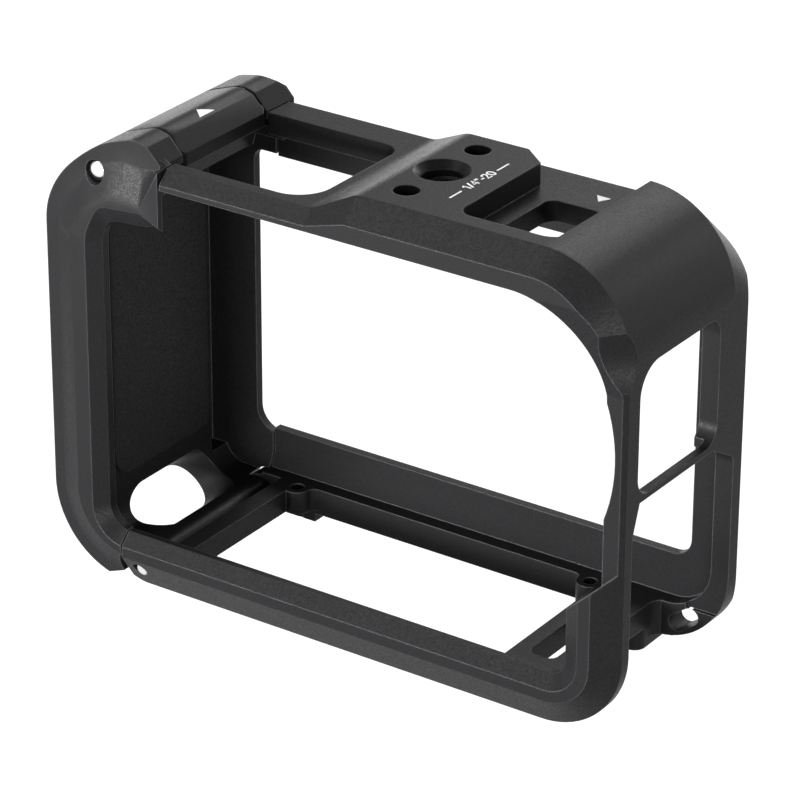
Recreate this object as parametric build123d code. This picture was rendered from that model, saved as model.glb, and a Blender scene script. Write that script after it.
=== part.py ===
from build123d import *
import os

# Camera cage for a compact action camera: one milled frame, a hinged side door on the left,
# a latch lever on top of the door, their pins and spring, and the soft pad on the door.
# Working frame: x runs right, y runs back from the front face, z runs up from the lower edge
# of the front face. Every node is shifted at export so that the origin sits under the middle.

# overall size
left_side = -53.9
right_side = 29.5
depth = 30.0
underside = -4.35
plateau_top = 56.9
left_rail_top = plateau_top - 2.7

# front frame, outer bevel and corners
bevel = 2.85
face_right = 26.6
face_top = plateau_top - bevel
face_top_left = plateau_top - 4.4
face_bottom = 0.0
shoulder_radius = 12.0
lower_corner_radius = 11.0
face_lower_corner_radius = 6.1
ramp_foot = -14.0
ramp_head = -8.3
frame_left = -42.5

# cavity for the camera
cavity_floor = 1.6
cavity_ceiling = plateau_top - 5.6
cavity_right = 27.0
cavity_corner = 8.0
lip_back = 2.5
rear_lip_front = depth - 1.2
rail_back = 4.4

# front opening
sill_top = 3.08
sill_bevel = 1.6
lip_right = 22.45
lip_bevel = 2.5
lip_corner = 2.2
lip_face_corner = 4.5
post_inner = 26.75
opening_arc = 11.5
opening_bevel = 0.5
step_slope = 0.94
step_foot = (22.45, 12.3)
scallop_centre = (6.0, 32.5)
scallop_radius = 22.05

# relief of the right post
relief_depth = 2.25
relief_level_top = plateau_top - 15.9
relief_fade_top = plateau_top - 5.4
hollow_z = plateau_top - 11.0
hollow_radius = 9.5
scallop_sagitta = 1.0
hollow_length = 14.0

# right side wall
window_front = 5.1
window_back = depth - 7.0
window_bottom = 27.25
window_top = plateau_top - 13.1
window_radius = 2.5
window_front_radius = 4.0
rib_bottom = 26.5
rib_inner = 28.3
lower_window_front = 4.3
lower_window_back = depth - 2.7
window_corner_radius = 1.5
lower_window_head = (22.2, 26.5)
lower_window_shoulder = 23.6

# top slab
top_window_right = -15.6
top_window_front = 3.3
top_window_back = depth - 6.9
top_window_front_radius = 4.5
top_window_back_radius = 2.75
pocket_floor = plateau_top - 2.9
pocket_left = 4.0
pocket_right = 15.0
pocket_ramp_top = 17.5
pocket_front = 5.2
pocket_radius = 2.0
pocket_ramp_radius = 3.0
button_left = 7.1
button_right = 14.6
button_front = 8.0
button_back = depth - 9.5
button_radius = 1.5
ramp_foot_radius = 4.0
rear_bevel_start = depth - 4.0
rear_bevel_left_start = plateau_top - 1.1
rear_face_top_left = plateau_top - 5.5
rear_face_top = plateau_top - 4.5
rear_shoulder_radius = 10.0
clip_start = (0.4, depth - 3.9)
clip_end = (4.0, depth - 6.8)

# threaded hole with its two locating holes
thread_centre = (-4.3, depth / 2 - 0.3)
thread_minor = 5.1
thread_mouth = 7.0
locator_spacing = 15.0
locator_diameter = 3.3
locator_depth = 3.0

# rear frame
rear_opening_right = 23.3
rear_opening_bottom = 7.4
rear_opening_top = plateau_top - 11.1
rear_opening_radius = 2.5
rear_side_bevel = 0.8
rear_underside = -3.2
rear_relief = -2.0
rear_corner_radius = 10.0
ledge_front = depth - 3.2
ledge_bottom = -1.5
ledge_corner_radius = 5.8
relief_margin = 2.2
rear_top_left = -38.6

# bottom members
cross_left = -37.2
cross_right = -34.6
web_left = 12.0
web_right = 19.7
slot_left = 14.05
slot_right = 17.7
slot_front = 6.5
slot_back = depth - 11.0
slot_radius = 1.2
boss_left = -34.0
boss_right = 10.7
boss_y = depth - 4.0
boss_diameter = 3.6
boss_hole = 1.8
boss_root_radius = 0.9
strap_centre = (23.7, -0.2)
strap_length = 4.6
strap_width = 2.3
strap_tilt = 36
foot_root_radius = 2.2
foot_front = depth - 7.0
foot_radius = 1.5

# hinge along the lower left edge
hinge_x = -40.5
hinge_z = -1.6
knuckle_radius = 2.75
knuckle_gap = 0.2
barrel_radius = 2.4
barrel_gap = 0.2
hinge_pin_diameter = 2.0
hinge_pin_front = 1.5
hinge_pin_back = depth - 1.0
running_fit = 0.05
rear_seam = -39.9
rear_seam_knee = (3.8, 1.6)
seam_gap = 0.3

# door
door_wall_inner = -47.6
door_wall_radius = 3.2
door_corner_radius = 11.5
door_bevel_back = 2.0
door_face_left = -49.19
door_lip_back = 2.8
door_lip_inner = -45.4
door_lip_top = plateau_top - 11.6
door_lip_bevel = 1.55
door_lip_corner = 3.2
beak_x = -38.4
window_high = (-47.5, 4.8)
window_low = (-43.1, -0.6)
corner_window_front = 7.5
corner_window_back = depth - 5.2
corner_window_reach = 12.0
door_seam = -42.7
door_right = -35.5
door_rear_lip = -42.4
door_rear_lip_front = depth - 1.15
door_rear_lip_radius = 1.4
seam_angle_rise = 0.38
wedge_reach = 20.0
groove_depth = 2.2
groove_front = depth - 4.3
groove_bottom = 3.0
front_seam_top = 4.65
rear_lip_foot = 6.7
rear_lip_turn = (-41.6, 7.7)
rear_lip_straight = 10.0
head_bottom = plateau_top - 10.4
head_inner = -42.6

# outline of the door: narrow front face, full outline, and the crest shared with the lever
face_low = 0.5
face_low_turn = (-47.2, 2.9)
face_side_low = 9.0
face_side_high = plateau_top - 15.0
face_head_curve = (
    (-48.3, plateau_top - 13.0),
    (-46.7, plateau_top - 10.6),
    (-44.3, plateau_top - 8.7),
)
face_head = (-41.2, plateau_top - 7.7)
face_notch = (-38.5, plateau_top - 8.4)
face_beak = (-36.9, plateau_top - 5.5)
face_end = plateau_top - 2.9
door_shoulder = plateau_top - 13.9
door_top_curve = (
    (-53.3, plateau_top - 10.5),
    (-51.2, plateau_top - 6.9),
    (-48.9, plateau_top - 4.6),
    (-45.8, plateau_top - 2.3),
)
crest_start = (-42.0, plateau_top - 0.7)
crest_start_slope = (1, 0.33)
crest_top = (-40.0, plateau_top - 0.15)
crest_corner = (-37.9, plateau_top - 0.55)
crest_corner_slope = (1, -0.35)
plate_shoulder = (-38.4, plateau_top - 0.9)
plate_corner = (-36.6, plateau_top - 2.0)
plate_end = plateau_top - 2.7

# inner edge of the front lip of the door, at its back and on the face
lip_turn_back = (-42.9, plateau_top - 15.6)
lip_turn_face = (-43.3, plateau_top - 14.9)
lip_turn_reach = (1.1, 3.5)
lip_head_face = plateau_top - 9.3
lip_tip_face = plateau_top - 10.1

# latch
pin_x = -45.9
pin_z = plateau_top - 5.6
latch_pin_diameter = 3.0
latch_pin_front = 2.0
latch_pin_back = depth - 2.2
spring_wire = 0.45
spring_inner = latch_pin_diameter / 2 + 0.08
spring_outer = spring_inner + spring_wire
spring_turns = 4
spring_pitch = 0.6
spring_front = 13.0
spring_back = spring_front + spring_turns * spring_pitch + spring_wire
lever_knuckle = 2.85
lever_seat = 3.05
lever_heel_x = -41.5
lever_sweep = (-43.4, plateau_top - 7.5)
lever_front = 5.95
lever_back = depth - 7.1
lug_gap = 0.15
head_front = 1.3
plate_edge = 0.9
catch_front = 2.3
nose_x = -36.0
nose_top = plateau_top - 2.6
nose_bottom = plateau_top - 4.4
catch_left = -41.0
catch_right = -38.6
catch_bottom = plateau_top - 6.1
catch_top = plateau_top - 4.7
front_rail_end = door_right + 0.3
rear_rail_end = nose_x + 0.15
rear_plate_right = -38.95
rear_plate_bottom = plateau_top - 10.9
catch_back = depth - 2.7
crest_back = depth - 3.0
crest_end_front = depth - 1.3

# pad
pad_thickness = 0.6
pad_front = 5.2
pad_back = depth - 5.2
pad_bottom = 7.5
pad_top = plateau_top - 12.4
pad_corner = 3.0
pad_back_corner = 1.0

far = 90.0


def slab(face, y_from, y_to):
    """Front-view face extruded between two depths."""
    return extrude(Pos(0, y_from, 0) * face, amount=y_to - y_from, dir=(0, 1, 0))


def column(face, z_from, z_to):
    """Top-view face extruded between two heights."""
    return extrude(Pos(0, 0, z_from) * face, amount=z_to - z_from, dir=(0, 0, 1))


def beam(face, x_from, x_to):
    """Side-view face extruded between two x positions."""
    return extrude(Pos(x_from, 0, 0) * face, amount=x_to - x_from, dir=(1, 0, 0))


def front_view(*edges):
    """Closed face in the xz plane from edges or points drawn as (x, z)."""
    return Plane.XZ * make_face(Curve() + list(edges))


def polygon(plane, *corners):
    """Closed face from (a, b) or (a, b, radius) corners on a plane."""
    face = make_face(Polyline(*[corner[:2] for corner in corners], close=True))
    for corner in corners:
        if len(corner) == 3:
            face = fillet(face.vertices().sort_by_distance((corner[0], corner[1], 0))[0], corner[2])
    return plane * face


def rod(x, z, radius, y_from, y_to):
    return slab(Plane.XZ * Pos(x, z) * Circle(radius), y_from, y_to)


def block(x_from, x_to, y_from, y_to, z_from, z_to):
    size = (x_to - x_from, y_to - y_from, z_to - z_from)
    return Pos((x_from + x_to) / 2, (y_from + y_to) / 2, (z_from + z_to) / 2) * Box(*size)


def frame_outline(left, right, bottom, top_left, top, lower_radius, upper_radius):
    """Outer outline of the frame: straight sides, two rounded right corners, a ramp on top."""
    return front_view(
        Line((left, bottom), (right - lower_radius, bottom)),
        CenterArc((right - lower_radius, bottom + lower_radius), lower_radius, -90, 90),
        Line((right, bottom + lower_radius), (right, top - upper_radius)),
        CenterArc((right - upper_radius, top - upper_radius), upper_radius, 0, 90),
        Line((right - upper_radius, top), (ramp_head, top)),
        Line((ramp_head, top), (ramp_foot, top_left)),
        Line((ramp_foot, top_left), (left, top_left)),
        Line((left, top_left), (left, bottom)),
    )


# cage frame
def front_bevel():
    """Front face and its outer bevel, lofted from the face outline to the full outline."""
    face = frame_outline(
        frame_left, face_right, face_bottom, face_top_left, face_top,
        face_lower_corner_radius, shoulder_radius - bevel,
    )
    full = frame_outline(
        frame_left, right_side, underside, face_top_left + bevel, plateau_top,
        lower_corner_radius, shoulder_radius,
    )
    return loft([face, Pos(0, bevel, 0) * full], ruled=True)


def rear_bevel():
    """Rear bevel of the frame, lofted down and round the shoulder to the rear face."""
    full = frame_outline(
        frame_left, right_side, underside, rear_bevel_left_start, plateau_top,
        lower_corner_radius, shoulder_radius,
    )
    rear = frame_outline(
        frame_left, right_side, underside, rear_face_top_left, rear_face_top,
        lower_corner_radius, rear_shoulder_radius,
    )
    return loft([Pos(0, rear_bevel_start, 0) * full, Pos(0, depth, 0) * rear], ruled=True)


def frame_body():
    full = frame_outline(
        frame_left, right_side, underside, face_top_left + bevel, plateau_top,
        lower_corner_radius, shoulder_radius,
    )
    body = front_bevel() + slab(full, bevel, rear_bevel_start) + rear_bevel()
    above_rails = make_face(Polyline(
        (-far, left_rail_top), (ramp_foot, left_rail_top), (ramp_head, plateau_top),
        (ramp_head + ramp_foot_radius, plateau_top), (ramp_head + ramp_foot_radius, far), (-far, far),
        close=True,
    ))
    for corner in ((ramp_foot, left_rail_top), (ramp_head, plateau_top)):
        vertex = above_rails.vertices().sort_by_distance((*corner, 0))[0]
        above_rails = fillet(vertex, ramp_foot_radius)
    return body - slab(Plane.XZ * above_rails, -far, far)


def opening_profile(sill, lip, corner, top, arc, foot):
    """Front opening: sill, retaining lip up to the sloping step, scalloped post, arched corner."""
    post = post_inner
    arc_centre = (post - arc, top - arc)
    step_top = foot[1] + step_slope * (post - foot[0])
    face = front_view(
        Line((-far, sill), (lip - corner, sill)),
        CenterArc((lip - corner, sill + corner), corner, -90, 90),
        Line((lip, sill + corner), (lip, foot[1] + step_slope * (lip - foot[0]))),
        Line((lip, foot[1] + step_slope * (lip - foot[0])), (post, step_top)),
        Line((post, step_top), (post, top - arc)),
        CenterArc(arc_centre, arc, 0, 90),
        Line((post - arc, top), (-far, top)),
        Line((-far, top), (-far, sill)),
    )
    return face


def front_opening():
    through = slab(
        opening_profile(sill_top, lip_right, lip_corner, cavity_ceiling, opening_arc, step_foot),
        sill_bevel, lip_back + 1,
    )
    mouth = loft([
        opening_profile(
            sill_top - sill_bevel, lip_right + lip_bevel, lip_face_corner, cavity_ceiling + opening_bevel,
            opening_arc + opening_bevel, step_foot,
        ),
        Pos(0, sill_bevel, 0) * opening_profile(
            sill_top, lip_right, lip_corner, cavity_ceiling, opening_arc, step_foot,
        ),
    ], ruled=True)
    scallop = slab(Plane.XZ * Pos(*scallop_centre) * Circle(scallop_radius), -1, lower_window_front)
    keep = block(post_inner - 2, far, -1, far, scallop_centre[1] - 8, scallop_centre[1] + 8)
    return through + mouth + (scallop & keep)


def post_relief():
    """Set-back face of the right post, fading out at the shoulder, above the sloping step."""
    side = polygon(
        Plane.YZ, (-1, 0), (relief_depth, 0), (relief_depth, relief_level_top), (0, relief_fade_top),
        (-1, relief_fade_top),
    )
    start = (post_inner - 8, step_foot[1] + step_slope * (post_inner - 8 - step_foot[0]))
    end = (far, step_foot[1] + step_slope * (far - step_foot[0]))
    above_step = front_view(Polyline(start, end, (start[0], end[1]), close=True))
    return beam(side, post_inner - 8, far) & slab(above_step, -1, far)


def cavity():
    """Room for the camera, open to the left where the door closes it."""
    room = polygon(
        Plane.XZ, (-far, cavity_floor), (cavity_right, cavity_floor, ledge_corner_radius),
        (cavity_right, cavity_ceiling, cavity_corner), (-far, cavity_ceiling),
    )
    rear = polygon(
        Plane.XZ, (-far, rear_opening_bottom), (rear_opening_right, rear_opening_bottom, rear_opening_radius),
        (rear_opening_right, rear_opening_top, rear_opening_radius), (-far, rear_opening_top),
    )
    return slab(room, lip_back, rear_lip_front) + slab(rear, rear_lip_front - 1, far)


def underside_opening():
    """Open bottom between the rails, less the cross member and the slotted web."""
    opening = block(-far, far, rail_back, ledge_front, underside - 1, cavity_floor + cavity_corner)
    cross = block(cross_left, cross_right, rail_back, ledge_front, ledge_bottom, cavity_floor)
    web = block(web_left, web_right, rail_back, ledge_front, ledge_bottom, cavity_floor)
    slot = column(
        polygon(
            Plane.XY, (slot_left, slot_front, slot_radius), (slot_right, slot_front, slot_radius),
            (slot_right, slot_back, slot_radius), (slot_left, slot_back, slot_radius),
        ),
        ledge_bottom - 1, cavity_floor + 1,
    )
    return opening - cross - (web - slot)


def side_windows():
    upper = polygon(
        Plane.YZ, (window_front, window_bottom, window_radius), (window_back, window_bottom, window_radius),
        (window_back, window_top, window_radius), (window_front, window_top, window_front_radius),
    )
    lower = polygon(
        Plane.YZ, (lower_window_front, cavity_floor), (lower_window_back, cavity_floor),
        (lower_window_back, lower_window_shoulder, window_corner_radius),
        (*lower_window_head, window_corner_radius),
        (lower_window_front + 1.4, rib_bottom), (lower_window_front, rib_bottom - 4),
    )
    thinned = block(
        cavity_right - 1, rib_inner, window_front + 1, window_back - 1, rib_bottom - 1, window_bottom + 1,
    )
    start = cavity_right - 3
    return beam(upper, start, far) + beam(lower, start, far) + thinned


def top_cuts():
    window = polygon(
        Plane.XY, (-far, top_window_front), (top_window_right, top_window_front, top_window_front_radius),
        (top_window_right, top_window_back, top_window_back_radius), (-far, top_window_back),
    )
    cuts = column(window, cavity_ceiling - 1, far)
    pocket = polygon(
        Plane.XZ, (pocket_left, pocket_floor), (pocket_right, pocket_floor),
        (pocket_ramp_top, plateau_top), (pocket_ramp_top, far), (pocket_left, far),
    )
    plan = polygon(
        Plane.XY, (pocket_left, pocket_front, pocket_radius),
        (pocket_ramp_top + 1, pocket_front, pocket_ramp_radius), (pocket_ramp_top + 1, far),
        (pocket_left, far),
    )
    cuts += slab(pocket, pocket_front, far) & column(plan, pocket_floor - 1, far)
    clip = polygon(Plane.XY, clip_start, clip_end, (clip_end[0] + 1, far), (clip_start[0], far))
    cuts += column(clip, pocket_floor, far)
    button = polygon(
        Plane.XY, (button_left, button_front, button_radius), (button_right, button_front, button_radius),
        (button_right, button_back, button_radius), (button_left, button_back, button_radius),
    )
    cuts += column(button, cavity_ceiling - 1, far)
    cuts += column(Pos(*thread_centre) * Circle(thread_minor / 2), cavity_ceiling - 1, far)
    sink = (thread_mouth - thread_minor) / 2
    cuts += Pos(*thread_centre, plateau_top - sink / 2) * Cone(thread_minor / 2, thread_mouth / 2, sink)
    for side in (-1, 1):
        centre = (thread_centre[0], thread_centre[1] + side * locator_spacing / 2)
        cuts += column(Pos(*centre) * Circle(locator_diameter / 2), plateau_top - locator_depth, far)
    return cuts


def rear_trim():
    """Outer shape of the rear frame: lower corner, relief between the bosses, side bevel."""
    left = frame_left - 1
    outline = polygon(
        Plane.XZ, (left, rear_underside), (right_side, rear_underside, rear_corner_radius),
        (right_side, far), (left, far),
    )
    trim = slab(front_view(Polyline((left, -far), (far, -far), (far, far), (left, far), close=True)),
                ledge_front - 0.5, far) - slab(outline, ledge_front - 1, far + 1)
    trim -= rod(hinge_x, hinge_z, knuckle_radius, ledge_front - 1, far)
    trim += block(
        boss_left + relief_margin, boss_right - relief_margin, ledge_front - 1, far, underside - 1,
        rear_relief,
    )
    edge = polygon(Plane.XY, (right_side - rear_side_bevel, depth), (right_side, depth - rear_side_bevel),
                   (right_side + 1, depth - rear_side_bevel), (right_side + 1, depth + 1),
                   (right_side - rear_side_bevel, depth + 1))
    return trim + column(edge, -far, far)


def frame_left_end():
    """Everything left of the seams, where the door, its lugs and the lever take over."""
    front_low = polygon(
        Plane.XZ, (frame_left, -far), (hinge_x, -far), (hinge_x, hinge_z), (frame_left, hinge_z),
    )
    cut = slab(front_low, -1, rail_back + 1) - rod(hinge_x, hinge_z, knuckle_radius, -2, rail_back + 2)
    knee_x = hinge_x + seam_gap
    rear_low = polygon(
        Plane.XZ, (-far, -far), (hinge_x, -far), (hinge_x, hinge_z), (knee_x, hinge_z),
        (knee_x, rear_seam_knee[1]), (rear_seam + seam_gap, rear_seam_knee[0]),
        (rear_seam + seam_gap, rear_opening_bottom + 1), (-far, rear_opening_bottom + 1),
    )
    cut += slab(rear_low, ledge_front - 1, far) - rod(hinge_x, hinge_z, knuckle_radius, ledge_front - 2, far)
    cut += block(-far, front_rail_end, -1, depth / 2, rear_opening_top - 10, far)
    cut += block(-far, rear_rail_end, depth / 2 - 1, far, rear_opening_top - 10, far)
    return cut


def catch():
    """Catch bar under the nose of the lever, carried by an arm at each end."""
    bar = block(catch_left, catch_right, catch_front, catch_back, catch_bottom, catch_top)
    front_arm = block(catch_left, nose_x - 0.2, catch_front, top_window_front + 1.9, catch_bottom, catch_top)
    front_arm += block(nose_x - 1, front_rail_end + 2, catch_front, top_window_front, catch_bottom, catch_top)
    rear_arm = block(
        catch_left, rear_rail_end + 2, top_window_back + 0.3, catch_back, catch_bottom, catch_top,
    )
    rear_plate = block(rear_top_left, rear_rail_end + 1, rear_lip_front, depth, rear_opening_top, catch_top)
    return bar + front_arm + rear_arm + rear_plate


def boss(x):
    """Screw boss on the rear ledge, blended into its edge."""
    ledge = Rectangle(boss_diameter * 2, lower_window_back - ledge_front, align=(Align.CENTER, Align.MIN))
    plan = Pos(x, ledge_front) * ledge + Pos(x, boss_y) * Circle(boss_diameter / 2)
    roots = plan.vertices().sort_by_distance((x, boss_y, 0))[:2]
    return column(fillet(roots, boss_root_radius), ledge_bottom, cavity_floor)


def rear_foot():
    """Foot under the rear end of the web, level with the front rail, blended into the rear plate."""
    plan = polygon(
        Plane.XY, (web_left, foot_front, foot_radius), (web_right, foot_front, foot_radius),
        (web_right, rear_lip_front + 1), (web_left, rear_lip_front + 1),
    )
    corner = (web_right + foot_root_radius, lower_window_back - foot_root_radius)
    root = block(
        web_right - 0.1, corner[0], corner[1], lower_window_back + 0.1, rear_underside, cavity_floor,
    )
    root -= column(Pos(*corner) * Circle(foot_root_radius), underside, cavity_floor + 1)
    return column(plan, underside, cavity_floor) + root


def bevel_scallop():
    """Shallow hollow across the outer bevel, above the relieved post."""
    reach = scallop_sagitta - hollow_radius
    offset = reach / 2 ** 0.5
    middle = ((face_right + right_side) / 2, bevel / 2)
    centre = (middle[0] - offset, middle[1] + offset, hollow_z)
    return Plane(origin=centre, z_dir=(1, 1, 0)) * Cylinder(hollow_radius, hollow_length)


def make_frame():
    frame = frame_body()
    frame -= cavity()
    frame -= front_opening()
    frame -= post_relief()
    frame -= bevel_scallop()
    frame -= underside_opening()
    frame -= side_windows()
    frame -= top_cuts()
    frame -= rear_trim()
    frame -= frame_left_end()
    frame += catch()
    for x in (boss_left, boss_right):
        frame += boss(x)
    for x in (boss_left, boss_right):
        frame -= column(Pos(x, boss_y) * Circle(boss_hole / 2), underside - 1, cavity_floor + 1)
    frame += rear_foot()
    strap = Plane.XZ * Pos(*strap_centre) * Rot(0, 0, strap_tilt) * SlotOverall(strap_length, strap_width)
    frame -= slab(strap, ledge_front - 1, far)
    frame -= rod(hinge_x, hinge_z, hinge_pin_diameter / 2, -1, hinge_pin_back)
    return frame


# side door
def door_top_outline():
    """Outer curve of the door from the left side up and over to the latch."""
    return Spline(
        (left_side, door_shoulder), *door_top_curve, crest_start, tangents=[(0, 1), crest_start_slope],
    )


def latch_crest():
    """Shared crest of lugs and lever: curve over the top, then the sloping thumb facet."""
    return [
        Spline(crest_start, crest_top, crest_corner, tangents=[crest_start_slope, crest_corner_slope]),
        Line(crest_corner, (nose_x, nose_top)),
    ]


def door_plate():
    """Front plate of the door, lofted from its narrow face to the full outline."""
    face = front_view(
        Line((door_right, face_end), (door_right, face_low)),
        Line((door_right, face_low), (door_seam, face_low)),
        ThreePointArc((door_seam, face_low), face_low_turn, (door_face_left, face_side_low)),
        Line((door_face_left, face_side_low), (door_face_left, face_side_high)),
        Spline((door_face_left, face_side_high), *face_head_curve, face_head, tangents=[(0, 1), (1, 0)]),
        Line(face_head, face_notch),
        Line(face_notch, face_beak),
        Line(face_beak, (door_right, face_end)),
    )
    low = hinge_z - barrel_radius
    full = front_view(
        Line((door_right, plate_end), (door_right, low)),
        Line((door_right, low), (left_side + door_corner_radius, low)),
        CenterArc((left_side + door_corner_radius, low + door_corner_radius), door_corner_radius, 180, 90),
        Line((left_side, low + door_corner_radius), (left_side, door_shoulder)),
        door_top_outline(),
        Line(crest_start, plate_shoulder),
        Line(plate_shoulder, plate_corner),
        Line(plate_corner, (door_right, plate_end)),
    )
    bevel_part = loft([face, Pos(0, door_bevel_back, 0) * full], ruled=True)
    return bevel_part + slab(full, door_bevel_back, door_lip_back)


def door_wall():
    """Wall, lower corner, latch head and rear lip of the door, cut from one outline."""
    low = hinge_z - barrel_radius
    inner = door_wall_radius
    barrel_top = hinge_z + barrel_radius
    outline = front_view(
        Line((nose_x, low), (left_side + door_corner_radius, low)),
        CenterArc((left_side + door_corner_radius, low + door_corner_radius), door_corner_radius, 180, 90),
        Line((left_side, low + door_corner_radius), (left_side, door_shoulder)),
        door_top_outline(),
        *latch_crest(),
        Line((nose_x, nose_top), (nose_x, low)),
    )
    inside = front_view(
        Line((0, nose_bottom + 0.8), (nose_x, nose_bottom + 0.8)),
        Line((nose_x, nose_bottom + 0.8), (catch_left - 0.5, nose_bottom)),
        Line((catch_left - 0.5, nose_bottom), (catch_left - 0.5, catch_bottom)),
        Line((catch_left - 0.5, catch_bottom), (head_inner, head_bottom)),
        Line((head_inner, head_bottom), (door_wall_inner, head_bottom)),
        Line((door_wall_inner, head_bottom), (door_wall_inner, barrel_top + inner)),
        CenterArc((door_wall_inner + inner, barrel_top + inner), inner, 180, 90),
        Line((door_wall_inner + inner, barrel_top), (hinge_x, barrel_top)),
        Line((hinge_x, barrel_top), (hinge_x, -far)),
        Line((hinge_x, -far), (0, -far)),
        Line((0, -far), (0, nose_bottom + 0.8)),
    )
    beside_rear_lip = front_view(
        Line((0, -far), (rear_seam, -far)),
        Line((rear_seam, -far), (rear_seam, rear_lip_foot)),
        ThreePointArc((rear_seam, rear_lip_foot), rear_lip_turn, (door_rear_lip, rear_lip_straight)),
        Line((door_rear_lip, rear_lip_straight), (door_rear_lip, rear_plate_bottom - door_rear_lip_radius)),
        CenterArc(
            (door_rear_lip + door_rear_lip_radius, rear_plate_bottom - door_rear_lip_radius),
            door_rear_lip_radius, 180, -90,
        ),
        Line(
            (door_rear_lip + door_rear_lip_radius, rear_plate_bottom), (rear_plate_right, rear_plate_bottom),
        ),
        Line((rear_plate_right, rear_plate_bottom), (rear_plate_right, nose_bottom)),
        Line((rear_plate_right, nose_bottom), (0, nose_bottom)),
        Line((0, nose_bottom), (0, -far)),
    )
    crest_bevel = polygon(
        Plane.YZ, (crest_back, plateau_top + 0.1), (depth, nose_top + 0.2), (far, nose_top + 0.2),
        (far, far), (crest_back, far),
    )
    crest_end = block(rear_plate_right, far, crest_end_front, far, nose_bottom - 1, far)
    wall = slab(outline, head_front, depth)
    wall -= slab(inside, 0, door_rear_lip_front)
    wall -= slab(beside_rear_lip, door_rear_lip_front, far)
    return wall - beam(crest_bevel, -far, far) - crest_end


def lip_edge(side, turn, head, tip, radius):
    """Inner edge of the front lip: round the lower corner, up the side, over to the beak."""
    centre = (side + radius, sill_top + door_lip_corner)
    low = centre[1] - radius
    return front_view(
        Line((0, low), (centre[0], low)),
        CenterArc(centre, radius, 180, 90),
        Line((side, centre[1]), (side, turn[1])),
        Spline(
            (side, turn[1]), (side + lip_turn_reach[0], turn[1] + lip_turn_reach[1]), (turn[0], head),
            tangents=[(0, 1), (1, 0.05)],
        ),
        Line((turn[0], head), (beak_x, head + 0.4)),
        Line((beak_x, head + 0.4), (door_right, tip)),
        Line((door_right, tip), (0, tip)),
        Line((0, tip), (0, low)),
    )


def door_opening():
    """Inner edge of the front lip with its bevel."""
    back_edge = lip_edge(door_lip_inner, lip_turn_back, door_lip_top, door_lip_top + 0.2, door_lip_corner)
    face_edge = lip_edge(
        door_lip_inner - door_lip_bevel, lip_turn_face, lip_head_face, lip_tip_face,
        door_lip_corner + door_lip_bevel,
    )
    through = slab(back_edge, sill_bevel, door_lip_back)
    return through + loft([face_edge, Pos(0, sill_bevel, 0) * back_edge], ruled=True)


def corner_window():
    """Oval window through the lower corner of the door, square to the curved wall."""
    centre = ((window_high[0] + window_low[0]) / 2, (corner_window_front + corner_window_back) / 2,
              (window_high[1] + window_low[1]) / 2)
    across = Vector(window_low[0] - window_high[0], 0, window_low[1] - window_high[1])
    outward = Vector(across.Z, 0, -across.X)
    oval = SlotOverall(corner_window_back - corner_window_front, across.length)
    plane = Plane(origin=centre, x_dir=(0, 1, 0), z_dir=outward)
    return extrude(plane.offset(-2) * oval, amount=corner_window_reach)


def hinge_room():
    """Space for the frame's knuckles: round seats and the seam that follows them."""
    reach = knuckle_radius + knuckle_gap
    wedge = front_view(Polyline(
        (hinge_x, hinge_z), (hinge_x - wedge_reach, hinge_z - wedge_reach * seam_angle_rise),
        (hinge_x - wedge_reach, -far),
        (hinge_x, -far), close=True,
    ))
    front_gap = front_view(Polyline(
        (door_seam, -far), (far, -far), (far, front_seam_top), (door_seam, front_seam_top), close=True,
    ))
    front_end = rail_back + barrel_gap
    rear_start = ledge_front - barrel_gap
    rear_gap = front_view(Polyline(
        (hinge_x, -far), (far, -far), (far, rear_seam_knee[0]), (rear_seam, rear_seam_knee[0]),
        (hinge_x, rear_seam_knee[1] - 0.1), close=True,
    ))
    room = slab(front_gap, -1, front_end) + slab(rear_gap, rear_start, far)
    room += slab(wedge, -1, front_end) + slab(wedge, rear_start, far)
    room += rod(hinge_x, hinge_z, reach, -1, front_end) + rod(hinge_x, hinge_z, reach, rear_start, far)
    return room


def lever_room():
    """Space between the lugs: round seat for the knuckle, open above and to the right."""
    above = front_view(Polyline(
        (pin_x - lever_seat, pin_z), (pin_x - lever_seat, far), (0, far), (0, lever_sweep[1]), lever_sweep,
        (pin_x, pin_z), close=True,
    ))
    front_end = lever_front - lug_gap
    rear_end = lever_back + lug_gap
    return slab(above, front_end, rear_end) + rod(pin_x, pin_z, lever_seat, front_end, rear_end)


def make_door():
    door = door_plate() - door_opening()
    door += door_wall()
    door -= hinge_room()
    door -= block(catch_left - 0.3, far, door_bevel_back, lever_front, catch_bottom - 0.3, nose_bottom)
    door -= column(
        polygon(Plane.XY, (door_lip_inner + 3, door_lip_back + 0.1), (door_right - 1, plate_edge),
                (far, plate_edge), (far, door_lip_back + 0.1)),
        door_lip_top - 2, catch_bottom,
    )
    door += rod(hinge_x, hinge_z, barrel_radius, rail_back + barrel_gap, ledge_front - barrel_gap)
    door -= lever_room()
    door -= corner_window()
    door -= block(
        door_wall_inner - groove_depth, door_wall_inner + 1, groove_front, door_rear_lip_front,
        groove_bottom, head_bottom,
    )
    door -= rod(hinge_x, hinge_z, hinge_pin_diameter / 2 + running_fit, -1, far)
    door -= rod(pin_x, pin_z, latch_pin_diameter / 2 + running_fit, -1, latch_pin_back + 0.2)
    return door


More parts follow.
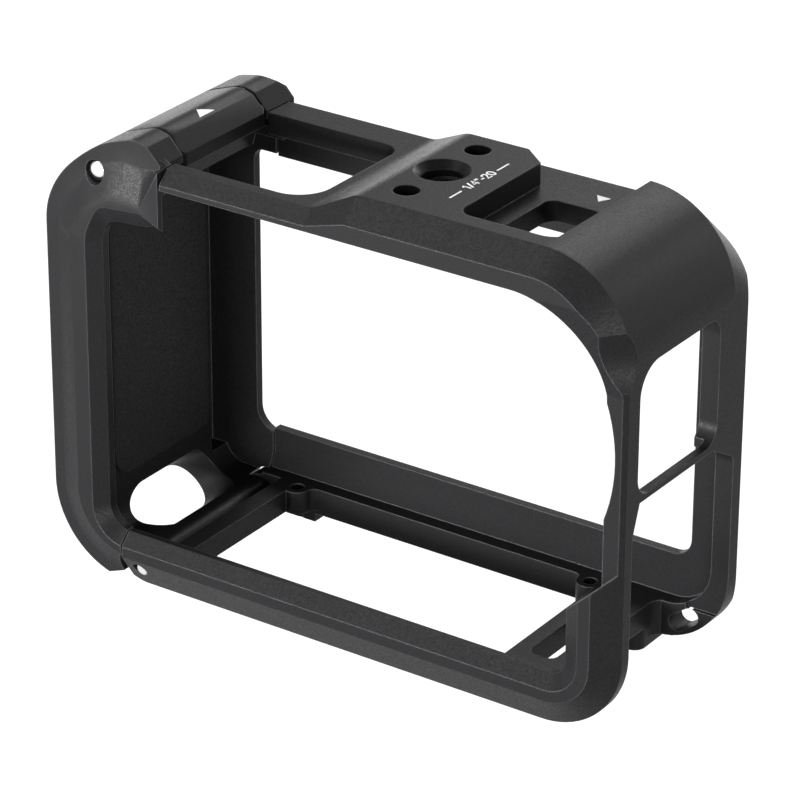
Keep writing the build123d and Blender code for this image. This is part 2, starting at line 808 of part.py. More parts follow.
# latch lever, spring, pad and pins
def make_lever():
    outline = front_view(
        Line((pin_x - lever_seat, pin_z), (left_side, pin_z)),
        Line((left_side, pin_z), (left_side, door_shoulder)),
        door_top_outline(),
        *latch_crest(),
        Line((nose_x, nose_top), (nose_x, nose_bottom)),
        Line((nose_x, nose_bottom), (lever_heel_x, nose_bottom)),
        Line((lever_heel_x, nose_bottom), (pin_x + 2, pin_z - 1)),
        Line((pin_x + 2, pin_z - 1), (pin_x, pin_z)),
        Line((pin_x, pin_z), (pin_x - lever_seat, pin_z)),
    )
    beside = block(left_side - 1, pin_x, 0, depth, 0, far) - rod(pin_x, pin_z, lever_knuckle, -1, far)
    lever = slab(outline, lever_front, lever_back) - beside
    lever += rod(pin_x, pin_z, lever_knuckle, lever_front, lever_back) & block(
        -far, far, 0, far, 0, pin_z + 0.1,
    )
    lever -= rod(pin_x, pin_z, latch_pin_diameter / 2 + running_fit, 0, far)
    lever -= rod(pin_x, pin_z, spring_outer + running_fit * 2, spring_front - 0.2, spring_back + 0.2)
    corners = lever.edges().filter_by(Axis.Z).group_by(Axis.X)[-1]
    return fillet(corners, 0.8)


def make_spring():
    radius = spring_inner + spring_wire / 2
    coil = Helix(spring_pitch, spring_turns * spring_pitch, radius)
    section = Plane(coil @ 0, z_dir=coil % 0) * Rectangle(spring_wire, spring_wire)
    wire = sweep(section, coil, is_frenet=True)
    coil_start = spring_front + spring_wire / 2
    return Pos(pin_x, coil_start, pin_z) * Rot(-90, 0, 0) * wire


def make_pad():
    face = polygon(
        Plane.YZ, (pad_front, pad_bottom, pad_corner), (pad_back, pad_bottom, pad_back_corner),
        (pad_back, pad_top, pad_back_corner), (pad_front, pad_top, pad_corner),
    )
    return beam(face, door_wall_inner, door_wall_inner + pad_thickness)


def make_pin(x, z, diameter, front, back):
    pin = rod(x, z, diameter / 2, front, back)
    return chamfer(pin.edges().filter_by(GeomType.CIRCLE), 0.2)


shift = Pos(-(left_side + right_side) / 2, -depth / 2, -underside)
nodes = {
    "cage_frame": make_frame(),
    "side_door": make_door(),
    "door_pad": make_pad(),
    "latch_lever": make_lever(),
    "latch_pin": make_pin(pin_x, pin_z, latch_pin_diameter, latch_pin_front, latch_pin_back),
    "latch_spring": make_spring(),
    "hinge_pin": make_pin(hinge_x, hinge_z, hinge_pin_diameter, hinge_pin_front, hinge_pin_back),
}
os.makedirs("parts", exist_ok=True)
for name, shape in nodes.items():
    placed = shift * shape
    box = placed.bounding_box()
    print(name, len(shape.solids()), [round(v, 2) for v in (*box.min, *box.max)], round(shape.volume, 1))
    export_step(placed, f"parts/{name}.step")
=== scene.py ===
import bmesh
import bpy
import math
from mathutils import Matrix, Vector
from mathutils.bvhtree import BVHTree


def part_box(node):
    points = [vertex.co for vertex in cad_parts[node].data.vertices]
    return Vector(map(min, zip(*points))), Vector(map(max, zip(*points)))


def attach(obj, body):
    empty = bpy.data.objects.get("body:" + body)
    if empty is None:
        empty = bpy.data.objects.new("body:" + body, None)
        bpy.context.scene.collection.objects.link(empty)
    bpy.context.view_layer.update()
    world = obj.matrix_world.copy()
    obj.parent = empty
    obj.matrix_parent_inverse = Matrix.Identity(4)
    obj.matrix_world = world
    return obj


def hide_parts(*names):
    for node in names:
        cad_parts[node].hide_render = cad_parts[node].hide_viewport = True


mm = 0.001  # pieces are sized in millimetres; materials, floor, lamps and camera in metres
mergeDistance = 1e-7  # metres: corners nearer than this are one corner

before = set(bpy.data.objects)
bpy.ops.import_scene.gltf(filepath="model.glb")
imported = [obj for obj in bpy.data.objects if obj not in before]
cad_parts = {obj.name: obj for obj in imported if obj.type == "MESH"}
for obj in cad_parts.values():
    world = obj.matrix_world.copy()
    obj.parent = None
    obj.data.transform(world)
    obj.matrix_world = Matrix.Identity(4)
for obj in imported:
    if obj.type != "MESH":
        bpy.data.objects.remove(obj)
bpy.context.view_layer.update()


def nodeBox(node):
    # the node's lowest and highest corner, in millimetres
    low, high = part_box(node)
    return [v / mm for v in low], [v / mm for v in high]


plateauTop = nodeBox("cage_frame")[1][2]
print("frame loaded")


def newGroup(name, inputs, outputs):
    group = bpy.data.node_groups.new(name, "ShaderNodeTree")
    for label, kind, value in inputs:
        socket = group.interface.new_socket(label, in_out="INPUT", socket_type=kind)
        if value is not None:
            socket.default_value = value
    for label, kind in outputs:
        group.interface.new_socket(label, in_out="OUTPUT", socket_type=kind)
    return group, group.nodes.new("NodeGroupInput"), group.nodes.new("NodeGroupOutput")


def addNode(tree, kind, settings=None, **sockets):
    # a socket goes by its name, or by its number as i0, i1 and so on
    node = tree.nodes.new(kind)
    for key, value in (settings or {}).items():
        setattr(node, key, value)
    for key, value in sockets.items():
        numbered = key[0] == "i" and key[1:].isdigit()
        socket = node.inputs[int(key[1:]) if numbered else key]
        if isinstance(value, bpy.types.NodeSocket):
            tree.links.new(value, socket)
        else:
            socket.default_value = value
    return node


def addMath(tree, operation, *values):
    sockets = {f"i{k}": value for k, value in enumerate(values)}
    return addNode(tree, "ShaderNodeMath", {"operation": operation}, **sockets).outputs[0]


def addRange(tree, value, low, high, atLow, atHigh):
    node = addNode(tree, "ShaderNodeMapRange", None, i0=value, i1=low, i2=high, i3=atLow, i4=atHigh)
    return node.outputs[0]


# flat and sharp are cosines of the turn where the paler edge colour, partly rubbed wear and partly a painted
# highlight, starts and where it is full
edgeTuning = dict(samples=6, flat=0.995, sharp=0.82, patchLow=0.35, patchHigh=0.62, detail=3.0)


def buildEdgeWearAndHighlight(tuning):
    # 0 on flat faces, up to 1 where the surface turns within the given radius; this lays the paler edge
    # colour, partly rubbed wear and partly a painted highlight line
    group, enter, leave = newGroup(
        "edgeWearAndHighlight",
        [
            ("radius", "NodeSocketFloat", 0.00018), ("breakup", "NodeSocketFloat", 0.35),
            ("scale", "NodeSocketFloat", 900.0),
        ],
        [("mask", "NodeSocketFloat")],
    )
    bevel = addNode(group, "ShaderNodeBevel", {"samples": tuning["samples"]}, Radius=enter.outputs["radius"])
    geometry = addNode(group, "ShaderNodeNewGeometry")
    dot = addNode(
        group, "ShaderNodeVectorMath", {"operation": "DOT_PRODUCT"},
        i0=bevel.outputs[0], i1=geometry.outputs["Normal"],
    )
    ramp = addRange(group, dot.outputs["Value"], tuning["flat"], tuning["sharp"], 0.0, 1.0)
    coords = addNode(group, "ShaderNodeTexCoord")
    noise = addNode(
        group, "ShaderNodeTexNoise", None,
        Vector=coords.outputs["Object"], Scale=enter.outputs["scale"], Detail=tuning["detail"],
    )
    fade = addRange(group, noise.outputs["Fac"], tuning["patchLow"], tuning["patchHigh"], 0.0, 1.0)
    blend = addNode(group, "ShaderNodeMix", None, i0=enter.outputs["breakup"], i2=1.0, i3=fade)
    group.links.new(addMath(group, "MULTIPLY", ramp, blend.outputs[0]), leave.inputs["mask"])
    return group


# roughFollow: how far the roughness follows the grain, rougher in its dark specks
grainTuning = dict(
    detail=4.0, roughness=0.65, low=0.3, high=0.7, broadScale=60.0, broadDetail=3.0,
    darkest=0.96, palest=1.04, roughFollow=-0.25,
)


def buildBlastGrain(tuning):
    # very fine bead blasted grain: a bumped normal, a tone and a shift for the roughness
    group, enter, leave = newGroup(
        "blastGrain",
        [
            ("scale", "NodeSocketFloat", 5000.0), ("strength", "NodeSocketFloat", 0.12),
            ("distance", "NodeSocketFloat", 0.00003), ("contrast", "NodeSocketFloat", 0.2),
            ("normal", "NodeSocketVector", None),
        ],
        [("normal", "NodeSocketVector"), ("tone", "NodeSocketFloat"), ("roughShift", "NodeSocketFloat")],
    )
    coords = addNode(group, "ShaderNodeTexCoord").outputs["Object"]
    fine = addNode(
        group, "ShaderNodeTexNoise", None,
        Vector=coords, Scale=enter.outputs["scale"], Detail=tuning["detail"], Roughness=tuning["roughness"],
    ).outputs["Fac"]
    broad = addNode(
        group, "ShaderNodeTexNoise", None,
        Vector=coords, Scale=tuning["broadScale"], Detail=tuning["broadDetail"],
    ).outputs["Fac"]
    bump = addNode(
        group, "ShaderNodeBump", None, Strength=enter.outputs["strength"],
        Distance=enter.outputs["distance"], Height=fine, Normal=enter.outputs["normal"],
    )
    spread = addRange(group, fine, tuning["low"], tuning["high"], -1.0, 1.0)
    speck = addMath(group, "MULTIPLY_ADD", spread, enter.outputs["contrast"], 1.0)
    shift = addMath(group, "MULTIPLY", spread, enter.outputs["contrast"])
    drift = addRange(group, broad, tuning["low"], tuning["high"], tuning["darkest"], tuning["palest"])
    group.links.new(bump.outputs[0], leave.inputs["normal"])
    group.links.new(addMath(group, "MULTIPLY", speck, drift), leave.inputs["tone"])
    group.links.new(shift, leave.inputs["roughShift"])
    return group


edgeWearAndHighlight = buildEdgeWearAndHighlight(edgeTuning)
blastGrain = buildBlastGrain(grainTuning)


def makeMaterial(spec):
    # the grain bumps a normal that is already rounded over the edges
    material = bpy.data.materials.new(spec["name"])
    material.use_nodes = True
    tree = material.node_tree
    tree.nodes.clear()
    out = addNode(tree, "ShaderNodeOutputMaterial")
    shader = addNode(tree, "ShaderNodeBsdfPrincipled")
    shader.inputs["Metallic"].default_value = spec["metallic"]
    shader.inputs["Specular IOR Level"].default_value = spec["specular"]
    rounded = addNode(tree, "ShaderNodeBevel", {"samples": edgeTuning["samples"]}, Radius=spec["edgeRadius"])
    grain = addNode(
        tree, "ShaderNodeGroup", {"node_tree": blastGrain}, scale=spec["grainScale"],
        strength=spec["grainStrength"], contrast=spec["grainContrast"], normal=rounded.outputs[0],
    )
    wearAndHighlight = addNode(tree, "ShaderNodeGroup", {"node_tree": edgeWearAndHighlight}, radius=spec["edgeRadius"])
    wearAndHighlightAmount = addMath(tree, "MULTIPLY", wearAndHighlight.outputs["mask"], spec["edgeWearAndHighlightAmount"])
    base = addNode(
        tree, "ShaderNodeVectorMath", {"operation": "SCALE"}, i0=spec["colour"], Scale=grain.outputs["tone"],
    )
    # along the edges the colour turns paler: partly rubbed wear, partly a painted highlight line
    colour = addNode(
        tree, "ShaderNodeMix", {"data_type": "RGBA"},
        i0=wearAndHighlightAmount, i6=base.outputs[0], i7=(*spec["edgeWearAndHighlightColour"], 1.0),
    )
    rough = addRange(tree, wearAndHighlightAmount, 0.0, 1.0, spec["rough"], spec["edgeRough"])
    grainRough = addMath(
        tree, "MULTIPLY_ADD", grain.outputs["roughShift"], grainTuning["roughFollow"], rough,
    )
    tree.links.new(colour.outputs[2], shader.inputs["Base Color"])
    tree.links.new(grainRough, shader.inputs["Roughness"])
    tree.links.new(grain.outputs["normal"], shader.inputs["Normal"])
    tree.links.new(shader.outputs[0], out.inputs["Surface"])
    return material


# along its edges each finish turns to a paler edge colour: partly rubbed wear, partly a painted highlight
# line
anodised = dict(
    name="anodisedBlack", colour=(0.0065, 0.0066, 0.007), metallic=0.0, specular=0.06, rough=0.4,
    grainScale=4000.0, grainStrength=0.35, grainContrast=0.5,
    edgeRadius=0.00022, edgeWearAndHighlightAmount=0.35, edgeWearAndHighlightColour=(0.17, 0.17, 0.175), edgeRough=0.3,
)
rubber = dict(
    name="padRubber", colour=(0.0085, 0.0085, 0.0085), metallic=0.0, specular=0.05, rough=0.6,
    grainScale=3600.0, grainStrength=0.8, grainContrast=0.5,
    edgeRadius=0.0002, edgeWearAndHighlightAmount=0.15, edgeWearAndHighlightColour=(0.03, 0.03, 0.03), edgeRough=0.6,
)
steel = dict(
    name="brightSteel", colour=(0.62, 0.62, 0.63), metallic=1.0, specular=0.5, rough=0.2,
    grainScale=5000.0, grainStrength=0.08, grainContrast=0.1,
    edgeRadius=0.0001, edgeWearAndHighlightAmount=0.3, edgeWearAndHighlightColour=(0.85, 0.85, 0.86), edgeRough=0.15,
)
paint = dict(
    name="whitePaint", colour=(0.9, 0.9, 0.9), metallic=0.0, specular=0.3, rough=0.6,
    grainScale=6000.0, grainStrength=0.15, grainContrast=0.12,
    edgeRadius=0.00004, edgeWearAndHighlightAmount=0.2, edgeWearAndHighlightColour=(0.7, 0.7, 0.7), edgeRough=0.6,
)
bodyMaterial = makeMaterial(anodised)
leverMaterial = makeMaterial({**anodised, "name": "anodisedLever", "rough": 0.37})
padMaterial = makeMaterial(rubber)
steelMaterial = makeMaterial(steel)
paintMaterial = makeMaterial(paint)
nodeMaterials = {
    "cage_frame": bodyMaterial, "side_door": bodyMaterial, "latch_lever": leverMaterial,
    "door_pad": padMaterial, "latch_pin": steelMaterial, "hinge_pin": steelMaterial,
    "latch_spring": steelMaterial,
}
for name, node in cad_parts.items():
    node.data.materials.clear()
    node.data.materials.append(nodeMaterials[name])
print("materials done")


def meshFrom(name, points, faces, edges=()):
    mesh = bpy.data.meshes.new(name)
    mesh.from_pydata(points, edges, faces)
    return mesh


def closeUp(mesh, thickness=0.0):
    # doubles merged, a thin sheet given its wall, faces outward
    work = bmesh.new()
    work.from_mesh(mesh)
    bmesh.ops.remove_doubles(work, verts=work.verts, dist=mergeDistance)
    if thickness:
        bmesh.ops.solidify(work, geom=work.faces[:], thickness=thickness)
    bmesh.ops.recalc_face_normals(work, faces=work.faces)
    work.to_mesh(mesh)
    work.free()
    return mesh


def addPiece(name, mesh, material, body, smooth=False):
    mesh.materials.clear()
    mesh.materials.append(material)
    for polygon in mesh.polygons:
        polygon.use_smooth = smooth
    piece = bpy.data.objects.new(name, mesh)
    bpy.context.scene.collection.objects.link(piece)
    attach(piece, body)
    return piece


def newHolder(name, mesh):
    holder = bpy.data.objects.new(name + "Holder", mesh)
    bpy.context.scene.collection.objects.link(holder)
    return holder


def bakeHolder(holder, name):
    # what the holder's modifiers make, as a plain mesh; the holder goes
    bpy.context.view_layer.update()
    graph = bpy.context.evaluated_depsgraph_get()
    mesh = bpy.data.meshes.new_from_object(holder.evaluated_get(graph))
    mesh.name = name
    bpy.data.objects.remove(holder)
    return mesh


def runTree(name, tree, settings, source=None):
    holder = newHolder(name, source or bpy.data.meshes.new(name + "Source"))
    modifier = holder.modifiers.new("build", "NODES")
    modifier.node_group = tree
    for item in tree.interface.items_tree:
        if item.item_type == "SOCKET" and item.in_out == "INPUT" and item.name in settings:
            modifier[item.identifier] = settings[item.name]
    return bakeHolder(holder, name)


def newTree(name, inputs):
    tree = bpy.data.node_groups.new(name, "GeometryNodeTree")
    tree.interface.new_socket("Geometry", in_out="INPUT", socket_type="NodeSocketGeometry")
    for label, kind, value in inputs:
        tree.interface.new_socket(label, in_out="INPUT", socket_type=kind).default_value = value
    tree.interface.new_socket("Geometry", in_out="OUTPUT", socket_type="NodeSocketGeometry")
    return tree, tree.nodes.new("NodeGroupInput"), tree.nodes.new("NodeGroupOutput")


def sweepAndFinish(tree, curve, profile, leave, material):
    # the profile swept along the curve with its frame kept upright, ends filled
    upright = addNode(tree, "GeometryNodeSetCurveNormal", {"mode": "Z_UP"}, Curve=curve)
    sweep = addNode(tree, "GeometryNodeCurveToMesh", None, Curve=upright.outputs[0])
    tree.links.new(profile, sweep.inputs["Profile Curve"])
    sweep.inputs["Fill Caps"].default_value = True
    real = addNode(tree, "GeometryNodeRealizeInstances", None, i0=sweep.outputs[0])
    painted = addNode(tree, "GeometryNodeSetMaterial", None, Geometry=real.outputs[0], Material=material)
    tree.links.new(painted.outputs[0], leave.inputs[0])


def buildStrokeTree(material):
    # polylines to flat painted strokes
    tree, enter, leave = newTree("paintedStrokes", [
        ("width", "NodeSocketFloat", 0.0002), ("thickness", "NodeSocketFloat", 0.00003),
    ])
    line = addNode(tree, "GeometryNodeMeshToCurve", None, i0=enter.outputs["Geometry"])
    profile = addNode(
        tree, "GeometryNodeCurvePrimitiveQuadrilateral", None,
        Width=enter.outputs["width"], Height=enter.outputs["thickness"],
    )
    sweepAndFinish(tree, line.outputs[0], profile.outputs[0], leave, material)
    return tree


def buildThreadTree(material):
    # helical ridge of a screw thread: a spiral swept with a four sided profile
    tree, enter, leave = newTree("screwThread", [
        ("radius", "NodeSocketFloat", 0.0025), ("pitch", "NodeSocketFloat", 0.00127),
        ("turns", "NodeSocketFloat", 4.0), ("ridge", "NodeSocketFloat", 0.0003),
        ("turnSteps", "NodeSocketInt", 96),
    ])
    height = addMath(tree, "MULTIPLY", enter.outputs["pitch"], enter.outputs["turns"])
    helix = addNode(
        tree, "GeometryNodeCurveSpiral", None,
        Resolution=enter.outputs["turnSteps"], Rotations=enter.outputs["turns"], Height=height,
    )
    for end in ("Start Radius", "End Radius"):
        tree.links.new(enter.outputs["radius"], helix.inputs[end])
    profile = addNode(
        tree, "GeometryNodeCurvePrimitiveCircle", {"mode": "RADIUS"},
        Resolution=4, Radius=enter.outputs["ridge"],
    )
    sweepAndFinish(tree, helix.outputs[0], profile.outputs[0], leave, material)
    return tree


strokeTree = buildStrokeTree(paintMaterial)
threadTree = buildThreadTree(bodyMaterial)

thread = dict(
    name="accessoryThread", centre=(7.9, -0.3), depth=5.5, radius=2.5, pitch=1.27, turns=3.4,
    ridge=0.27, turnSteps=96,
)
threadMesh = runTree(thread["name"], threadTree, {
    "radius": thread["radius"] * mm, "pitch": thread["pitch"] * mm, "turns": thread["turns"],
    "ridge": thread["ridge"] * mm, "turnSteps": thread["turnSteps"],
})
threadBottom = Vector((*thread["centre"], plateauTop - thread["depth"]))
threadMesh.transform(Matrix.Translation(threadBottom * mm))
addPiece(thread["name"], closeUp(threadMesh), bodyMaterial, "frame")
print("thread done")


def shadeAcross(edge, turn):
    # shading runs on over an edge that turns by less than this, in degrees
    edge.smooth = len(edge.link_faces) == 2 and edge.calc_face_angle(0) < math.radians(turn)


# the lever with its ends eased, so that the seams beside it open into dark grooves;
# sameLevel, weld and sliver are tolerances in metres
leverEase = dict(
    name="latchLever", node="latch_lever", radius=0.5, fromZ=56.9, steps=3, turn=24, flatTurn=1.5,
    sameLevel=1e-5, weld=2e-6, sliver=1e-6,
)


def easedLever(spec):
    low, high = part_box(spec["node"])
    work = bmesh.new()
    work.from_mesh(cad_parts[spec["node"]].data)
    bmesh.ops.remove_doubles(work, verts=work.verts, dist=mergeDistance)
    flat = math.radians(spec["flatTurn"])
    bmesh.ops.dissolve_limit(work, angle_limit=flat, verts=work.verts, edges=work.edges)
    ends = []
    for edge in work.edges:
        if len(edge.link_faces) != 2 or edge.calc_face_angle(0) < math.radians(spec["turn"]):
            continue
        if any(v.co.z <= spec["fromZ"] * mm for v in edge.verts):
            continue
        for level in (low[1], high[1]):
            if all(abs(v.co.y - level) < spec["sameLevel"] for v in edge.verts):
                ends.append(edge)
    bmesh.ops.bevel(
        work, geom=ends, offset=spec["radius"] * mm, segments=spec["steps"], profile=0.5,
        affect="EDGES", clamp_overlap=False,
    )
    # the bevel leaves slivers and small openings where it runs out, so they are closed
    bmesh.ops.remove_doubles(work, verts=work.verts, dist=spec["weld"])
    bmesh.ops.dissolve_degenerate(work, dist=spec["sliver"], edges=work.edges)
    bmesh.ops.holes_fill(work, edges=[edge for edge in work.edges if edge.is_boundary], sides=0)
    bmesh.ops.triangulate(work, faces=work.faces)
    bmesh.ops.recalc_face_normals(work, faces=work.faces)
    for edge in work.edges:
        shadeAcross(edge, spec["turn"])
    mesh = bpy.data.meshes.new(spec["name"])
    work.to_mesh(mesh)
    work.free()
    return mesh


leverPiece = addPiece(
    leverEase["name"], easedLever(leverEase), leverMaterial, "lever", smooth=True,
)
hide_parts(leverEase["node"])
print("lever done")

# the door again, the same shape, with shading that runs on across the shallow turns;
# between low and high, at its head, that goes for wider turns too
softDoor = dict(
    name="sideDoor", node="side_door", turn=20, wider=32,
    low=(-41.0, -15.1, 46.0), high=(-24.0, -12.6, 60.0),
)


def softenedCopy(spec):
    work = bmesh.new()
    work.from_mesh(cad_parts[spec["node"]].data)
    bmesh.ops.remove_doubles(work, verts=work.verts, dist=mergeDistance)
    for edge in work.edges:
        inside = all(
            spec["low"][k] * mm <= v.co[k] <= spec["high"][k] * mm for v in edge.verts for k in range(3)
        )
        shadeAcross(edge, spec["wider"] if inside else spec["turn"])
    mesh = bpy.data.meshes.new(spec["name"] + "Plain")
    work.to_mesh(mesh)
    work.free()
    for polygon in mesh.polygons:
        polygon.use_smooth = True
    holder = newHolder(spec["name"], mesh)
    holder.modifiers.new("weighted", "WEIGHTED_NORMAL").keep_sharp = True
    return bakeHolder(holder, spec["name"])


doorPiece = addPiece(softDoor["name"], softenedCopy(softDoor), bodyMaterial, "door", smooth=True)
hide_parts(softDoor["node"])
print("door done")

# thread size beside the hole, read from the right: along +y, letters upright toward -x;
# a glyph is its width and its strokes, in parts of the letter height
marking = dict(
    name="threadMarking", left=13.75, start=-3.45, length=6.1, high=1.15, level=plateauTop,
    stroke=0.24, thick=0.03,
    dashes=[((13.3, -6.8), (13.3, -4.35)), ((13.3, 3.2), (13.3, 5.7))],
    glyphs=[
        (0.55, [[(0.08, 0.76), (0.32, 1.0), (0.32, 0.0)]]),
        (0.55, [[(0.02, -0.05), (0.46, 1.05)]]),
        (0.72, [[(0.44, 0.0), (0.44, 1.0), (0.02, 0.3), (0.62, 0.3)]]),
        (0.48, [[(0.12, 1.02), (0.12, 0.72)], [(0.34, 1.02), (0.34, 0.72)]]),
        (0.52, [[(0.06, 0.42), (0.42, 0.42)]]),
        (0.74, [[
            (0.06, 0.76), (0.14, 0.94), (0.32, 1.0), (0.5, 0.94), (0.57, 0.76), (0.5, 0.56),
            (0.06, 0.0), (0.6, 0.0),
        ]]),
        (0.7, [[
            (0.32, 0.0), (0.12, 0.12), (0.05, 0.5), (0.12, 0.88), (0.32, 1.0), (0.52, 0.88),
            (0.59, 0.5), (0.52, 0.12), (0.32, 0.0),
        ]]),
    ],
)


def strokeMesh(name, lines):
    points, edges = [], []
    for line in lines:
        first = len(points)
        points += [(x * mm, y * mm, z * mm) for x, y, z in line]
        edges += [(first + k, first + k + 1) for k in range(len(line) - 1)]
    return meshFrom(name, points, [], edges)


def markingLines(spec):
    step = spec["length"] / sum(width for width, strokes in spec["glyphs"])
    level = spec["level"] + spec["thick"] / 2
    lines, along = [], spec["start"]
    for width, strokes in spec["glyphs"]:
        for stroke in strokes:
            lines.append([(spec["left"] - v * spec["high"], along + u * step, level) for u, v in stroke])
        along += width * step
    lines += [[(x, y, level) for x, y in dash] for dash in spec["dashes"]]
    return lines


markingMesh = runTree(
    marking["name"], strokeTree,
    {"width": marking["stroke"] * mm, "thickness": marking["thick"] * mm},
    strokeMesh(marking["name"] + "Lines", markingLines(marking)),
)
addPiece(marking["name"], closeUp(markingMesh), paintMaterial, "frame")

# small painted arrows: corners in plan, laid onto the surface under them
arrows = [
    dict(name="pocketArrow", corners=[(23.3, 9.55), (24.45, 7.9), (25.3, 9.5)],
         node="cage_frame", body="frame", slot="body"),
    dict(name="leverArrow", corners=[(-27.55, -1.45), (-26.1, 0.3), (-26.1, -2.65)],
         node="latch_lever", body="lever", slot="lever"),
]
arrowLay = dict(steps=12, lift=0.02, above=100.0)


def layArrow(spec, lay):
    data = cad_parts[spec["node"]].data
    surface = BVHTree.FromPolygons([v.co for v in data.vertices], [p.vertices for p in data.polygons])
    first, second, third = [Vector((x * mm, y * mm)) for x, y in spec["corners"]]
    if (second - first).cross(third - first) < 0:
        first, third = third, first
    steps = lay["steps"]
    rows, points, faces = [], [], []
    for row in range(steps + 1):
        line = []
        for column in range(row + 1):
            spot = first + (second - first) * (row / steps) + (third - second) * (column / steps)
            start = Vector((*spot, lay["above"] * mm))
            hit, normal, index, distance = surface.ray_cast(start, Vector((0, 0, -1)))
            line.append(len(points))
            points.append(hit + normal * lay["lift"] * mm)
        rows.append(line)
    for upper, lower in zip(rows, rows[1:]):
        for k in range(len(upper)):
            faces.append((upper[k], lower[k], lower[k + 1]))
            if k + 1 < len(upper):
                faces.append((upper[k], lower[k + 1], upper[k + 1]))
    sheet = closeUp(meshFrom(spec["name"], points, faces), lay["lift"] * mm)
    return addPiece(spec["name"], sheet, paintMaterial, spec["body"])


for arrow in arrows:
    layArrow(arrow, arrowLay)
print("marks done")


def ringFaces(rings, count):
    # quads between neighbouring rings, and the first and last ring closed
    faces = []
    for ring in range(rings - 1):
        for k in range(count):
            a, b = ring * count + k, ring * count + (k + 1) % count
            faces.append((a, b, b + count, a + count))
    faces.append(tuple(reversed(range(count))))
    faces.append(tuple((rings - 1) * count + k for k in range(count)))
    return faces


# a domed cap on the pin's front end, set into it by sunk; the profile is (radius, how far it
# stands out toward -y), turned about the pin's own axis
pinHead = dict(
    name="latchPinHead", node="latch_pin", sunk=0.02, steps=48,
    profile=[(1.42, 0.0), (1.42, 0.12), (1.3, 0.3), (1.05, 0.46), (0.7, 0.58), (0.3, 0.63), (0.05, 0.64)],
)


def turnedMesh(spec):
    low, high = nodeBox(spec["node"])
    x, y, z = (low[0] + high[0]) / 2, low[1] + spec["sunk"], (low[2] + high[2]) / 2
    points = []
    for radius, out in spec["profile"]:
        for k in range(spec["steps"]):
            angle = 2 * math.pi * k / spec["steps"]
            across, up = radius * math.cos(angle), radius * math.sin(angle)
            points.append(((x + across) * mm, (y - out) * mm, (z + up) * mm))
    mesh = meshFrom(spec["name"], points, ringFaces(len(spec["profile"]), spec["steps"]))
    mesh.validate()
    return mesh


addPiece(pinHead["name"], closeUp(turnedMesh(pinHead)), steelMaterial, "door", smooth=True)
print("pin head done")

# soft pad on the inside of the door: a thin slab with a rounded border and a barely crowned face;
# crown lists (in from the border, below the face)
padLow, padHigh = nodeBox("door_pad")
pad = dict(
    name="doorPad", low=padLow, high=padHigh,
    frontCorner=3.0, backCorner=1.0, leastCorner=0.2, cornerSteps=8,
    rim=0.28, rimSteps=5, rimDrop=0.03, crown=[(1.2, 0.012), (3.5, 0.0)], fill=0.3,
)


def roundedOutline(spec, inset):
    front = max(spec["frontCorner"] - inset, spec["leastCorner"])
    back = max(spec["backCorner"] - inset, spec["leastCorner"])
    left, right = spec["low"][1] + inset, spec["high"][1] - inset
    low, high = spec["low"][2] + inset, spec["high"][2] - inset
    corners = (
        (right, high, -1, -1, back, 0), (left, high, 1, -1, front, 90),
        (left, low, 1, 1, front, 180), (right, low, -1, 1, back, 270),
    )
    points = []
    for y, z, sideways, upward, radius, start in corners:
        for k in range(spec["cornerSteps"] + 1):
            angle = math.radians(start + 90 * k / spec["cornerSteps"])
            across, up = sideways + math.cos(angle), upward + math.sin(angle)
            points.append((y + radius * across, z + radius * up))
    return points


def padMesh(spec):
    back = spec["low"][0]
    thick = spec["high"][0] - back
    rim = spec["rim"]
    levels = [(0.0, 0.0), (0.0, thick - rim)]
    for k in range(1, spec["rimSteps"] + 1):
        angle = math.radians(90 * k / spec["rimSteps"])
        levels.append((rim * (1 - math.cos(angle)), thick - rim * (1 - math.sin(angle)) - spec["rimDrop"]))
    levels += [(inset, thick - below) for inset, below in spec["crown"]]
    points = []
    for inset, out in levels:
        points += [((back + out) * mm, y * mm, z * mm) for y, z in roundedOutline(spec, inset)]
    return meshFrom(spec["name"], points, ringFaces(len(levels), len(points) // len(levels)))


padPiece = addPiece(pad["name"], closeUp(padMesh(pad)), padMaterial, "door", smooth=True)
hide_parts("door_pad")
print("pad done")

white = (1.0, 1.0, 1.0, 1.0)


def backdropRays(tree):
    # 1 for rays from the camera and for reflected and refracted ones, which all see the pale backdrop
    path = addNode(tree, "ShaderNodeLightPath").outputs
    seen = addMath(tree, "MAXIMUM", path["Is Camera Ray"], path["Is Glossy Ray"])
    return addMath(tree, "MAXIMUM", seen, path["Is Transmission Ray"])


# most of the floor's white is its own and the lamps add the rest, so that it can still be shaded;
# it lies low enough for the open door, which swings below the base
floorSpec = dict(
    half=6.0, height=-0.0125, colour=(0.25, 0.25, 0.25, 1.0), roughness=0.9, specular=0.1, ownLight=0.82,
)


def makeFloor(spec):
    material = bpy.data.materials.new("paleFloor")
    material.use_nodes = True
    tree = material.node_tree
    shader = tree.nodes["Principled BSDF"]
    shader.inputs["Base Color"].default_value = spec["colour"]
    shader.inputs["Roughness"].default_value = spec["roughness"]
    shader.inputs["Specular IOR Level"].default_value = spec["specular"]
    shader.inputs["Emission Color"].default_value = white
    ownLight = addMath(tree, "MULTIPLY", backdropRays(tree), spec["ownLight"])
    tree.links.new(ownLight, shader.inputs["Emission Strength"])
    half, height = spec["half"], spec["height"]
    corners = [(-half, -half, height), (half, -half, height), (half, half, height), (-half, half, height)]
    plane = bpy.data.objects.new("floor", meshFrom("floor", corners, [(0, 1, 2, 3)]))
    bpy.context.scene.collection.objects.link(plane)
    plane.data.materials.append(material)
    return plane


floor = makeFloor(floorSpec)

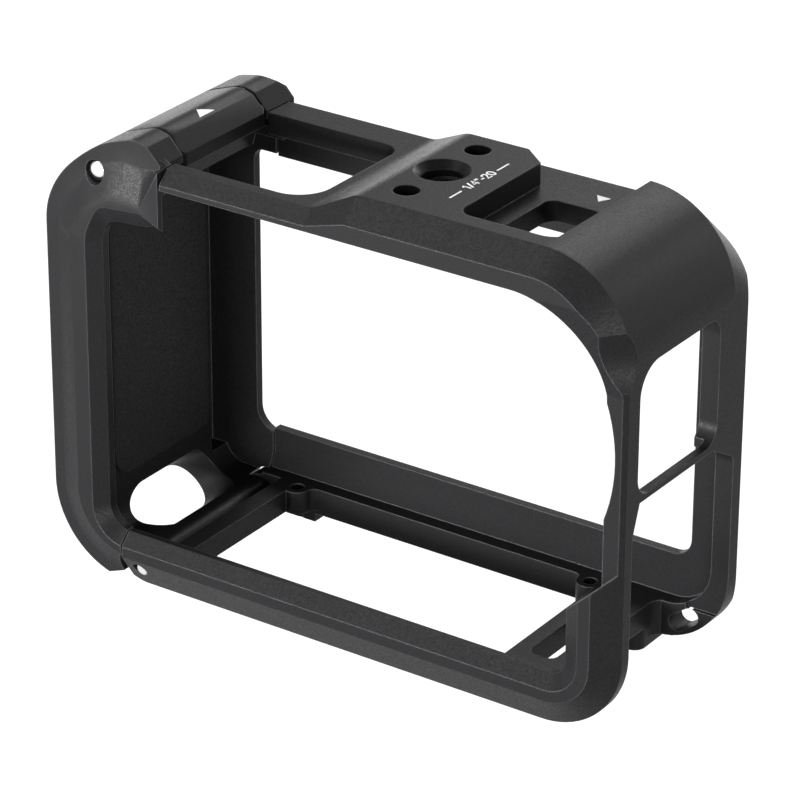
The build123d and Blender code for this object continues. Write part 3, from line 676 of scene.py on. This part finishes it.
worldSpec = dict(seen=1.0, ambient=0.02)
world = bpy.data.worlds.new("studio")
bpy.context.scene.world = world
world.use_nodes = True
worldTree = world.node_tree
ambient = worldTree.nodes["Background"]
ambient.inputs["Color"].default_value = white
ambient.inputs["Strength"].default_value = worldSpec["ambient"]
backdrop = addNode(worldTree, "ShaderNodeBackground", None, Color=white, Strength=worldSpec["seen"])
worldMix = addNode(
    worldTree, "ShaderNodeMixShader", None,
    i0=backdropRays(worldTree), i1=ambient.outputs[0], i2=backdrop.outputs[0],
)
worldTree.links.new(worldMix.outputs[0], worldTree.nodes["World Output"].inputs["Surface"])

# soft lamps: direction and distance are from the middle of the part, which they all face
lampTarget = Vector((0.0, 0.0, 0.03))
lamps = [
    dict(name="keyFrontLeft", direction=(-0.5, -0.55, 0.75), distance=0.8, size=(0.45, 0.45), power=4.0),
    dict(name="backHigh", direction=(-0.13, 0.74, 0.64), distance=0.8, size=(0.5, 0.22), power=3.6),
    dict(name="backLow", direction=(-0.66, 0.74, 0.02), distance=0.8, size=(0.6, 0.08), power=0.8),
    dict(name="frontLeftLow", direction=(-0.36, -0.92, 0.05), distance=0.5, size=(0.4, 0.06), power=9.5),
    dict(name="rightLow", direction=(0.74, -0.51, 0.03), distance=0.6, size=(0.4, 0.06), power=2.86),
    dict(name="rightMid", direction=(0.66, -0.63, 0.25), distance=0.8, size=(0.2, 0.16), power=2.08),
    dict(name="rightBackLow", direction=(0.5, 0.86, 0.0), distance=0.7, size=(0.4, 0.12), power=0.26),
    dict(name="rearFill", direction=(0.1, 0.98, 0.15), distance=0.9, size=(0.6, 0.3), power=4.5),
    dict(name="rightBackHigh", direction=(0.47, 0.74, 0.5), distance=0.8, size=(0.24, 0.14), power=0.52),
]


def addLamp(spec):
    light = bpy.data.lights.new(spec["name"], "AREA")
    light.shape = "RECTANGLE"
    light.size, light.size_y = spec["size"]
    light.energy = spec["power"]
    lamp = bpy.data.objects.new(spec["name"], light)
    place = lampTarget + Vector(spec["direction"]).normalized() * spec["distance"]
    lamp.location = place
    lamp.rotation_euler = (lampTarget - place).to_track_quat("-Z", "Y").to_euler()
    bpy.context.scene.collection.objects.link(lamp)


for spec in lamps:
    addLamp(spec)

# the camera stands off its target by distance, and azimuth counts from the front toward the right
view = dict(
    lens=184.614, sensor=36.0, near=0.05, far=20.0,
    target=(0.00205, -0.000418, 0.029555), distance=0.5, azimuth=34.4214, elevation=25.8482, roll=0.2453,
)
camera = bpy.data.cameras.new("camera")
camera.lens = view["lens"]
camera.sensor_width = view["sensor"]
camera.clip_start = view["near"]
camera.clip_end = view["far"]
cameraObject = bpy.data.objects.new("camera", camera)
turn = (
    Matrix.Rotation(math.radians(view["azimuth"]), 4, "Z")
    @ Matrix.Rotation(math.radians(90 - view["elevation"]), 4, "X")
    @ Matrix.Rotation(math.radians(view["roll"]), 4, "Z")
)
away = Matrix.Translation((0.0, 0.0, view["distance"]))
cameraObject.matrix_world = Matrix.Translation(view["target"]) @ turn @ away
bpy.context.scene.collection.objects.link(cameraObject)
bpy.context.scene.camera = cameraObject
bpy.context.scene.view_settings.view_transform = "Standard"
print("stage done")
